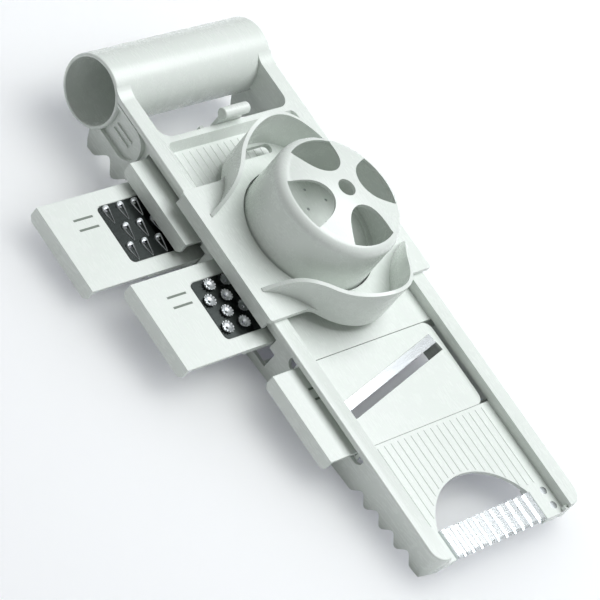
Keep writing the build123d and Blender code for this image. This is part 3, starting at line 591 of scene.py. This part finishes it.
def teeth_tree(inputs):
    """Copies of one tooth on the same staggered pattern as the holes."""
    tree, given, result = new_tree("teeth", inputs)
    value = given.outputs
    tooth = add_node(tree, "GeometryNodeObjectInfo", {}, {"Object": value["Tooth"]})
    links = {"Points": staggered_points(tree, value), "Instance": tooth.outputs["Geometry"]}
    copies = add_node(tree, "GeometryNodeInstanceOnPoints", {}, links)
    finish_tree(tree, copies.outputs[0], value["Material"], result)
    return tree


def spikes_tree(inputs):
    """Rings of spikes about the pusher's axis and one in the middle."""
    tree, given, result = new_tree("food_spikes", inputs)
    value = given.outputs
    rings = add_node(tree, "GeometryNodeJoinGeometry")
    middle = add_node(tree, "GeometryNodePoints", {"Count": 1})
    tree.links.new(middle.outputs[0], rings.inputs[0])
    for ring in ("Inner", "Outer"):
        links = {"Vertices": value[ring + " Count"], "Radius": value[ring + " Radius"]}
        circle = add_node(tree, "GeometryNodeMeshCircle", {}, links)
        points = add_node(tree, "GeometryNodeMeshToPoints", {}, {"Mesh": circle.outputs[0]})
        tree.links.new(points.outputs[0], rings.inputs[0])
    spot = add_node(tree, "ShaderNodeCombineXYZ", {}, {"Y": value["Centre Y"], "Z": value["Level"]})
    links = {"Geometry": rings.outputs[0], "Offset": spot.outputs[0]}
    moved = add_node(tree, "GeometryNodeSetPosition", {}, links)
    spike = add_node(tree, "GeometryNodeObjectInfo", {}, {"Object": value["Spike"]})
    links = {"Points": moved.outputs[0], "Instance": spike.outputs["Geometry"]}
    copies = add_node(tree, "GeometryNodeInstanceOnPoints", {}, links)
    finish_tree(tree, copies.outputs[0], value["Material"], result)
    return tree


# --- small formed parts -------------------------------------------------------------------------

def ring_points(radius, level, number):
    """Points round a circle; radius and level are called with each point's number."""
    points = []
    for i in range(number):
        a = 2 * math.pi * i / number
        points.append(Vector((radius(i) * math.cos(a), radius(i) * math.sin(a), level(i))))
    return points


def plain_ring(radius, level, number):
    return ring_points(lambda i: radius, lambda i: level, number)


def stack_rings(name, rings, close_low=False, close_high=False):
    """A closed or open skin through rings of points that all have the same number of points."""
    work = bmesh.new()
    loops = [[work.verts.new(point) for point in ring] for ring in rings]
    for low, high in zip(loops, loops[1:]):
        for i in range(len(low)):
            j = (i + 1) % len(low)
            work.faces.new((low[i], low[j], high[j], high[i]))
    if close_low:
        work.faces.new(list(reversed(loops[0])))
    if close_high:
        work.faces.new(loops[-1])
    bmesh.ops.recalc_face_normals(work, faces=work.faces)
    mesh = bpy.data.meshes.new(name)
    work.to_mesh(mesh)
    work.free()
    return link_mesh(name, mesh)


def punched_crown():
    """A flared crown pushed up round a hole, its rim cut into petals."""
    outer = detail().crown_radius
    high = detail().tooth_height
    wall = 0.18 * MM
    # four points to a petal: the notch, then its rounded tip
    reach = (0.74, 0.97, 1.0, 0.97)
    number = detail().crown_petals * len(reach)

    def rim(scale):
        """The rim stands highest where it reaches furthest out."""
        return ring_points(
            lambda i: outer * reach[i % 4] * scale, lambda i: high * (0.6 + 0.4 * reach[i % 4]), number)

    foot = plain_ring(outer * 0.72, -0.05 * MM, number)
    rings = [
        foot,
        plain_ring(outer * 0.62 + wall, high * 0.5 - wall, number),
        rim(1.0),
        rim(0.97),
        plain_ring(outer * 0.62, high * 0.5, number),
        plain_ring(outer * 0.24, 0.1 * MM, number),
        plain_ring(outer * 0.22, -0.3 * MM, number),
        foot,
    ]
    return stack_rings("crown", rings)


def scoop_roof(half, high, sink=0.0):
    """Sheet over a scoop's broad end, as rows of points from the middle of the opening to the hood."""
    cover = 0.86 * half
    rows = []
    for turn in (0.0, 0.4, 0.8, 1.2, 1.5):
        row = []
        for side in (-1, -0.5, 0, 0.5, 1):
            arch = 0.72 + 0.28 * math.cos(turn) * (1 - side * side)
            row.append(Vector((side * cover * math.cos(turn), cover * math.sin(turn), high * arch - sink)))
        rows.append(row)
    return rows


def sheet_border(rows):
    """The points round the edge of a grid, in order."""
    far_side = [row[-1] for row in rows[1:]]
    near_side = [row[0] for row in rows[-2:0:-1]]
    return rows[0] + far_side + rows[-1][-2::-1] + near_side


def punched_scoop():
    """A hood at the broad end of a drop-shaped opening, with a raised lip that runs to its point."""
    half = detail().scoop_width / 2
    high = detail().tooth_height
    long = detail().scoop_length
    wall = 0.4 * MM
    lip = 0.55 * MM
    number = 32

    def drop(inset, height):
        """Outline of the drop; height is called with 1 at the hood down to -1 at the point."""
        points = []
        for i in range(number):
            a = 2 * math.pi * i / number
            back = math.cos(a)
            across = 1 - inset / half
            if back > 0:
                x, y = math.sin(a) * half, back * half * across
            else:
                # sides draw in towards the point
                x, y = math.sin(a) * half * (1 + 0.55 * back), back * (long - half) * (1 - inset / long)
            points.append(Vector((x * across, y, height(back))))
        return points

    def crest(back):
        """Height of the rim, from the lip at the point up to the hood."""
        return lip + (high - lip) * max(0.0, min(1.0, back + 0.35))

    base = drop(0.0, lambda back: -0.05 * MM)
    rings = [
        base,
        drop(0.3 * wall, lambda back: 0.7 * crest(back)),
        drop(1.0 * wall, crest),
        drop(1.8 * wall, lambda back: crest(back) - 0.5 * wall),
        drop(1.9 * wall, lambda back: -0.3 * MM),
        base,
    ]
    scoop = stack_rings("scoop", rings)

    work = bmesh.new()
    work.from_mesh(scoop.data)
    sheets = [
        [[work.verts.new(point) for point in row] for row in scoop_roof(half, high, sink)]
        for sink in (0.0, 0.3 * MM)
    ]
    for sheet in sheets:
        for low, far in zip(sheet, sheet[1:]):
            for i in range(len(low) - 1):
                work.faces.new((low[i], low[i + 1], far[i + 1], far[i]))
    high_edge, low_edge = [sheet_border(sheet) for sheet in sheets]
    for i in range(len(high_edge)):
        j = (i + 1) % len(high_edge)
        work.faces.new((low_edge[i], low_edge[j], high_edge[j], high_edge[i]))
    bmesh.ops.recalc_face_normals(work, faces=work.faces)
    work.to_mesh(scoop.data)
    work.free()
    return scoop


def turned_spike(long, cone):
    """A drawn pin with a ground point below and a flat head above."""
    # share of the radius, then the level
    shape = (
        (0.12, -long), (0.6, -long + cone * 0.45), (1.0, -long + cone), (1.0, -0.2 * MM), (0.85, 0.0),
    )
    rings = [plain_ring(part * detail().spike_radius, level, 16) for part, level in shape]
    return stack_rings("spike", rings, close_low=True, close_high=True)


def wavy_section(low_x, high_x, level, rise, waves):
    """Section line of the crinkle blade: flat lands with narrow grooves between them."""
    pitch = (high_x - low_x) / waves
    points = []
    for wave in range(waves):
        for part, height in WAVE:
            points.append((low_x + (wave + part) * pitch, level + rise * height))
    points.append((high_x, level))
    return points


# --- operators --------------------------------------------------------------------------------

class MANDOLINE_OT_body(bpy.types.Operator):
    """Rails, side walls, tube handle, crossbar, decks, racks and the catch with its pin"""
    bl_idname = "mandoline.body"
    bl_label = "Body mouldings"

    def execute(self, context):
        shell = ("left_wall", "right_wall", "left_rail", "right_rail", "cross_bar", "upper_deck")
        moulding("body_shell", shell, "body")
        for node in ("handle_tube", "front_rack", "rear_rack"):
            skin_node(node, "body", "abs")
        skin_node("lower_deck", "body", "abs", SLIM_EDGE)
        skin_node("holder_catch", "catch", "abs")
        skin_node("catch_pin", "body", "wire", SLIM_EDGE)
        return {"FINISHED"}


class MANDOLINE_OT_ribs(bpy.types.Operator):
    """Raised ribs on both decks; those of the lower deck stop short of the round opening"""
    bl_idname = "mandoline.ribs"
    bl_label = "Deck ribs"

    def execute(self, context):
        sizes = detail()
        common = {
            "Count": sizes.rib_count, "Pitch": sizes.rib_pitch, "Width": sizes.rib_width,
            "Height": sizes.rib_height, "Cut Gap": RIB_CUT_GAP, "Material": material("abs"),
        }
        _, lower_high = deck_box("lower_deck")
        _, upper_high = deck_box("upper_deck")
        blade_low, blade_high = deck_box("crinkle_blade")
        bar_low, _ = deck_box("cross_bar")
        slicer_low, slicer_high = deck_box("slicer_frame")
        decks = {
            "lower_deck_ribs": {
                "Start": blade_high.y + RIB_BLADE_GAP, "End": slicer_low.y - RIB_INSERT_GAP,
                "Level": lower_high.z, "Cut Radius": OPENING_RADIUS, "Cut X": OPENING_X,
                "Cut Y": blade_low.y - OPENING_BEYOND,
            },
            "upper_deck_ribs": {
                "Start": slicer_high.y + RIB_INSERT_GAP, "End": bar_low.y - RIB_BAR_GAP,
                "Level": upper_high.z, "Cut Radius": 0.0, "Cut X": 0.0, "Cut Y": 0.0,
            },
        }
        for name, place in decks.items():
            ribs = grow(name, ribs_tree, {**common, **place})
            dress(ribs, "abs")
            settle(ribs, "body", [])
        return {"FINISHED"}


class MANDOLINE_OT_blades(bpy.types.Operator):
    """Crinkle blade with a ground front edge, and the two pins beside it"""
    bl_idname = "mandoline.blades"
    bl_label = "Crinkle blade"

    def execute(self, context):
        low, high = deck_box("crinkle_blade")
        rise = high.z - low.z - STRIP_THICK
        waves = wavy_section(
            low.x + FLAT_LEFT, high.x - FLAT_RIGHT, low.z, rise, detail().wave_count)
        line = [(low.x, low.z), *waves, (high.x, low.z)]

        def section(y, upper, lower):
            """Closed ring at y between two shares of the thickness."""
            over = [Vector((x, y, z + STRIP_THICK * upper)) for x, z in line]
            under = [Vector((x, y, z + STRIP_THICK * lower)) for x, z in reversed(line)]
            return over + under

        rings = [
            section(low.y, *EDGE_LINES),
            section(low.y + GROUND_WIDTH, 1.0, 0.0),
            section(high.y, 1.0, 0.0),
        ]
        blade = stack_rings("crinkle_blade_ground", rings, close_low=True, close_high=True)
        blade.data.transform(TILT)
        dress(blade, "honed")
        settle(blade, "body", ["crinkle_blade"])
        skin_node("blade_pins", "body", "wire", PIN_EDGE)
        return {"FINISHED"}


# hole patterns in millimetres, from the sheet's corner with the lowest X and Y
PANELS = {
    "rasp": {
        "First X": 5.5, "Pitch X": 6.65, "Columns": 12, "First Y": 7.0, "Pitch Y": 18.0,
        "Row Shift": 9.0, "Rows": 2, "Last Y": 37.0, "Hole Radius": 1.1,
    },
    "coarse": {
        "First X": 5.5, "Pitch X": 5.55, "Columns": 14, "First Y": 10.2, "Pitch Y": 25.2,
        "Row Shift": 12.0, "Rows": 2, "Last Y": 37.0, "Hole Radius": 1.3,
    },
    "fine": {
        "First X": 6.0, "Pitch X": 7.35, "Columns": 11, "First Y": 5.0, "Pitch Y": 9.0,
        "Row Shift": 4.5, "Rows": 4, "Last Y": 36.0, "Hole Radius": 1.3,
    },
}


class MANDOLINE_OT_inserts(bpy.types.Operator):
    """Insert frames with their marks, the slanted blade, and three pierced sheets with their teeth"""
    bl_idname = "mandoline.inserts"
    bl_label = "Inserts"

    def panel(self, name, tooth):
        """Pierced sheet and teeth of one grating insert."""
        low, high = deck_box(name + "_panel")
        _, frame_high = deck_box(name + "_frame")
        pattern = {
            key: value * MM if isinstance(value, float) else value
            for key, value in PANELS[name].items()
        }
        pattern["First X"] += low.x
        for key in ("First Y", "Last Y"):
            pattern[key] += low.y
        pattern["Level"] = frame_high.z
        sheet_sizes = {
            "Length": high.x - low.x - 2 * SHEET_GAP, "Width": high.y - low.y - 2 * SHEET_GAP,
            "Middle X": (low.x + high.x) / 2, "Middle Y": (low.y + high.y) / 2,
            "Corner": SHEET_CORNER, "Thickness": SHEET_THICK, "Material": material("panel"),
        }
        sheet = grow(name + "_sheet", panel_tree, {**pattern, **sheet_sizes})
        dress(sheet, "panel")
        settle(sheet, name + "_insert", [name + "_panel"])
        tooth_inputs = {**pattern, "Tooth": tooth, "Material": material("blade")}
        teeth = grow(name + "_teeth", teeth_tree, tooth_inputs)
        dress(teeth, "blade")
        settle(teeth, name + "_insert", [])

    def marks(self, name):
        """Two short marks, filled almost level with the plate."""
        low, high = deck_box(name + "_frame")
        work = bmesh.new()
        for row in MARK_ROWS:
            centre = Vector((low.x + MARK_MIDDLE, high.y - row, high.z - MARK_BELOW))
            bar = Matrix.Translation(centre) @ Matrix.Diagonal((*MARK_SIZE, 1))
            bmesh.ops.create_cube(work, size=1, matrix=TILT @ bar)
        mesh = bpy.data.meshes.new(name + "_marks")
        work.to_mesh(mesh)
        work.free()
        bars = link_mesh(name + "_marks", mesh)
        soften(bars, MARK_EDGE)
        dress(bars, "ink")
        settle(bars, name + "_insert", [])

    def execute(self, context):
        for name in ("slicer", "fine", "coarse", "rasp"):
            skin_node(name + "_frame", name + "_insert", "abs", FRAME_EDGE)
            self.marks(name)
        skin_node("slicer_blade", "slicer_insert", "honed", BLADE_EDGE)
        crown = punched_crown()
        scoop = punched_scoop()
        small = link_mesh("small_crown", crown.data.copy())
        small.data.transform(Matrix.Scale(SMALL_CROWN, 4))
        for name, tooth in (("rasp", crown), ("coarse", scoop), ("fine", small)):
            self.panel(name, tooth)
        for tooth in (crown, scoop, small):
            bpy.data.objects.remove(tooth)
        return {"FINISHED"}


class MANDOLINE_OT_holder(bpy.types.Operator):
    """Food holder with its finger guards, and the pusher with its spikes"""
    bl_idname = "mandoline.holder"
    bl_label = "Food holder"

    def execute(self, context):
        shell = ("holder_plate", "holder_lips", "rear_guard", "front_guard", "well_collar")
        moulding("food_holder", shell, "holder")
        for node in ("pusher_cap", "spike_plate"):
            skin_node(node, "pusher", "abs")
        low, high = deck_box("food_spikes")
        plate_low, plate_high = deck_box("spike_plate")
        spike = turned_spike(high.z - low.z, SPIKE_CONE)
        inputs = {
            **SPIKE_RINGS, "Centre Y": (plate_low.y + plate_high.y) / 2, "Level": high.z,
            "Spike": spike, "Material": material("wire"),
        }
        spikes = grow("ground_spikes", spikes_tree, inputs)
        bpy.data.objects.remove(spike)
        dress(spikes, "wire")
        settle(spikes, "pusher", ["food_spikes"])
        return {"FINISHED"}


def facing(direction):
    """Turn that points an object's own Z along direction, so that it looks the other way."""
    return direction.to_track_quat("Z", "Y").to_matrix().to_4x4()


def look_from(azimuth, elevation, roll, distance, target):
    """Matrix of a camera that looks at target; the roll turns the picture."""
    flat = math.cos(elevation)
    back = Vector((math.sin(azimuth) * flat, -math.cos(azimuth) * flat, math.sin(elevation)))
    place = Matrix.Translation(target + back * distance)
    return place @ facing(back) @ Matrix.Rotation(roll, 4, "Z")


def area_light(name, place, target, size, power, tone):
    """A round soft light that faces target."""
    lamp = bpy.data.lights.new(name, "AREA")
    lamp.shape = "DISK"
    lamp.size = size
    lamp.energy = power
    lamp.color = tone
    obj = bpy.data.objects.new(name, lamp)
    obj.matrix_world = Matrix.Translation(place) @ facing(place - target)
    bpy.context.scene.collection.objects.link(obj)


def studio_acrylic():
    """Opal acrylic table, cast and matt: light spreads inside it, so that shadows stay pale and soft."""
    surface, tree, shader, place = new_material("cast_opal_acrylic")
    # unevenness of the cast face about 25 mm across
    cast = add_node(tree, "ShaderNodeTexNoise", {"Scale": 40.0, "Detail": 4.0}, {"Vector": place})
    matt = add_node(
        tree, "ShaderNodeMapRange", {"To Min": 0.86, "To Max": 0.94}, {"Value": cast.outputs["Fac"]})
    tree.links.new(matt.outputs["Result"], shader.inputs["Roughness"])
    stage = bpy.context.scene.mandoline_stage
    shader.inputs["Base Color"].default_value = stage.floor_tone
    shader.subsurface_method = "BURLEY"
    shader.inputs["Subsurface Weight"].default_value = 1.0
    shader.inputs["Subsurface Radius"].default_value = (1.0, 1.0, 1.1)
    shader.inputs["Subsurface Scale"].default_value = stage.floor_scatter
    return surface


class MANDOLINE_OT_stage(bpy.types.Operator):
    """Studio table, camera, one large soft light and pale surroundings"""
    bl_idname = "mandoline.stage"
    bl_label = "Stage"

    def execute(self, context):
        scene = context.scene
        stage = scene.mandoline_stage
        scene.view_settings.view_transform = "Standard"
        lens = bpy.data.cameras.new("studio_camera")
        lens.lens = stage.lens
        lens.sensor_width = SENSOR_WIDTH
        camera = bpy.data.objects.new("studio_camera", lens)
        camera.matrix_world = look_from(
            stage.azimuth, stage.elevation, stage.roll, stage.distance, CAMERA_TARGET)
        scene.collection.objects.link(camera)
        scene.camera = camera

        mesh = bpy.data.meshes.new("studio_floor")
        reach = FLOOR_REACH
        corners = [(-reach, -reach, 0), (reach, -reach, 0), (reach, reach, 0), (-reach, reach, 0)]
        mesh.from_pydata(corners, [], [(0, 1, 2, 3)])
        floor = link_mesh("studio_floor", mesh)
        floor.data.materials.append(studio_acrylic())

        world = bpy.data.worlds.new("studio_air")
        scene.world = world
        world.use_nodes = True
        air = world.node_tree.nodes["Background"]
        air.inputs["Color"].default_value = stage.air_tone
        air.inputs["Strength"].default_value = stage.air_strength
        area_light("key_light", KEY_PLACE, KEY_TARGET, KEY_SIZE, stage.key_power, KEY_TONE)
        return {"FINISHED"}


class MANDOLINE_PT_panel(bpy.types.Panel):
    """Buttons and sizes of the hand mandoline"""
    bl_idname = "MANDOLINE_PT_panel"
    bl_label = "Hand mandoline"
    bl_space_type = "VIEW_3D"
    bl_region_type = "UI"
    bl_category = "Mandoline"

    def draw(self, context):
        column = self.layout.column()
        for operator in OPERATORS:
            column.operator(operator.bl_idname)
        for attribute in GROUPS:
            group = getattr(context.scene, attribute)
            for name in group.bl_rna.properties.keys():
                if name not in {"rna_type", "name"}:
                    column.prop(group, name)


GROUPS = {
    "mandoline_finish": MandolineFinish,
    "mandoline_detail": MandolineDetail,
    "mandoline_stage": MandolineStage,
}
OPERATORS = (
    MANDOLINE_OT_stage, MANDOLINE_OT_body, MANDOLINE_OT_ribs, MANDOLINE_OT_blades,
    MANDOLINE_OT_inserts, MANDOLINE_OT_holder,
)


def register():
    for group in GROUPS.values():
        bpy.utils.register_class(group)
    for operator in OPERATORS:
        bpy.utils.register_class(operator)
    bpy.utils.register_class(MANDOLINE_PT_panel)
    for name, group in GROUPS.items():
        setattr(bpy.types.Scene, name, bpy.props.PointerProperty(type=group))


def unregister():
    for name in GROUPS:
        delattr(bpy.types.Scene, name)
    bpy.utils.unregister_class(MANDOLINE_PT_panel)
    for operator in reversed(OPERATORS):
        bpy.utils.unregister_class(operator)
    for group in GROUPS.values():
        bpy.utils.unregister_class(group)


def main():
    register()
    bpy.ops.mandoline.stage()
    bpy.ops.mandoline.body()
    bpy.ops.mandoline.ribs()
    bpy.ops.mandoline.blades()
    bpy.ops.mandoline.inserts()
    bpy.ops.mandoline.holder()


if __name__ == "__main__":
    main()
